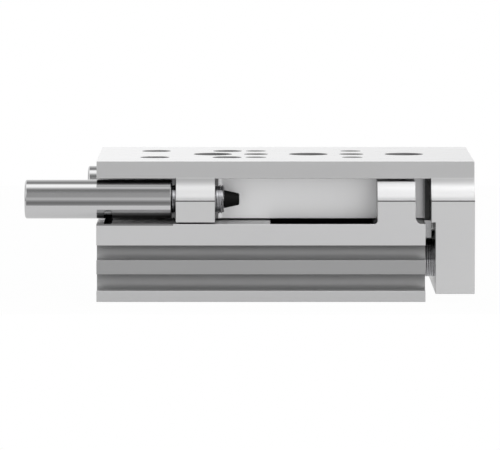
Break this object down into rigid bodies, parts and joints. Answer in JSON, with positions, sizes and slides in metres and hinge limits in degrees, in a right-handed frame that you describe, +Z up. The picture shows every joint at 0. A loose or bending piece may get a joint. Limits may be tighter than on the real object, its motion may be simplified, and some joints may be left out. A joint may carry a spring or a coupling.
{
  "type": "pneumatic slide table",
  "caption": "Compact pneumatic slide table: twin-piston housing with sensor grooves, cage-guided table with a yoke, and an adjustable sprung end stop for each direction.",
  "frame": {"origin": "middle of the housing's flat underside", "axes": "+X along the stroke, the way the table extends; +Z up out of the table's top face; +Y towards the side with the return end stop"},
  "size_m": [0.0924, 0.052, 0.0287],
  "materials": {
    "anodised_housing": "natural anodised extrusion with a fine satin grain along its length",
    "anodised_table": "milled and natural anodised, fine satin",
    "anodised_cap": "turned and anodised",
    "ground_steel": "hardened and ground",
    "polished_steel": "polished stainless steel",
    "threaded_steel": "turned stainless steel with a fine thread",
    "spring_steel": "drawn spring steel",
    "black_screw": "black oxide screws",
    "oxide_steel": "black oxide steel, turned",
    "zinc_screw": "zinc plated screws",
    "bearing_bronze": "turned bearing bronze",
    "cage_brass": "stamped brass strip",
    "ball_steel": "bearing balls",
    "magnet": "plastic-bonded magnet",
    "seal_rubber": "black nitrile rubber",
    "buffer_rubber": "black elastomer"
  },
  "bodies": {
    "housing": {"housing": "anodised_housing", "guide_rail": "ground_steel", "rail_screws": "black_screw", "rear_caps": "anodised_cap", "rear_cap_rings": "seal_rubber", "circlips": "spring_steel", "rod_guides": "bearing_bronze", "rod_guide_rings": "seal_rubber", "rod_seals": "seal_rubber", "rod_washers": "ground_steel", "end_stop_plate": "ground_steel", "end_stop_screws": "black_screw", "air_channel_plugs": "polished_steel", "return_absorber_tube": "polished_steel", "return_absorber_neck": "threaded_steel", "return_spring": "spring_steel"},
    "table": {"slide_table": "anodised_table", "guide_runner": "ground_steel", "runner_screws": "zinc_screw", "piston_rods": "polished_steel", "pistons": "anodised_cap", "piston_seals": "seal_rubber", "piston_magnets": "magnet", "piston_nuts": "zinc_screw", "rod_collars": "oxide_steel", "rod_screws": "black_screw", "advance_absorber_tube": "polished_steel", "advance_absorber_neck": "threaded_steel", "advance_spring": "spring_steel"},
    "near_cage": {"near_ball_cage": "cage_brass", "near_balls": "ball_steel"},
    "far_cage": {"far_ball_cage": "cage_brass", "far_balls": "ball_steel"},
    "advance_plunger": {"advance_plunger": "polished_steel", "advance_buffer": "buffer_rubber"},
    "return_plunger": {"return_plunger": "polished_steel", "return_buffer": "buffer_rubber"}
  },
  "joints": [
    {"name": "table_travel", "type": "slide", "parent": "housing", "child": "table", "axis": [1, 0, 0], "range_m": [0, 0.0282]},
    {"name": "near_cage_travel", "type": "slide", "parent": "housing", "child": "near_cage", "axis": [1, 0, 0], "range_m": [0, 0.0141]},
    {"name": "far_cage_travel", "type": "slide", "parent": "housing", "child": "far_cage", "axis": [1, 0, 0], "range_m": [0, 0.0141]},
    {"name": "advance_plunger_press", "type": "slide", "parent": "table", "child": "advance_plunger", "axis": [-1, 0, 0], "range_m": [0, 0.003], "stiffness_N_per_m": 600, "springref_m": -0.002, "deforming": ["advance_spring"]},
    {"name": "return_plunger_press", "type": "slide", "parent": "housing", "child": "return_plunger", "axis": [-1, 0, 0], "range_m": [0, 0.003], "stiffness_N_per_m": 600, "springref_m": -0.002, "deforming": ["return_spring"]}
  ],
  "couplings": [
    {"joint": "near_cage_travel", "follows": "table_travel", "ratio": 0.5},
    {"joint": "far_cage_travel", "follows": "table_travel", "ratio": 0.5}
  ]
}
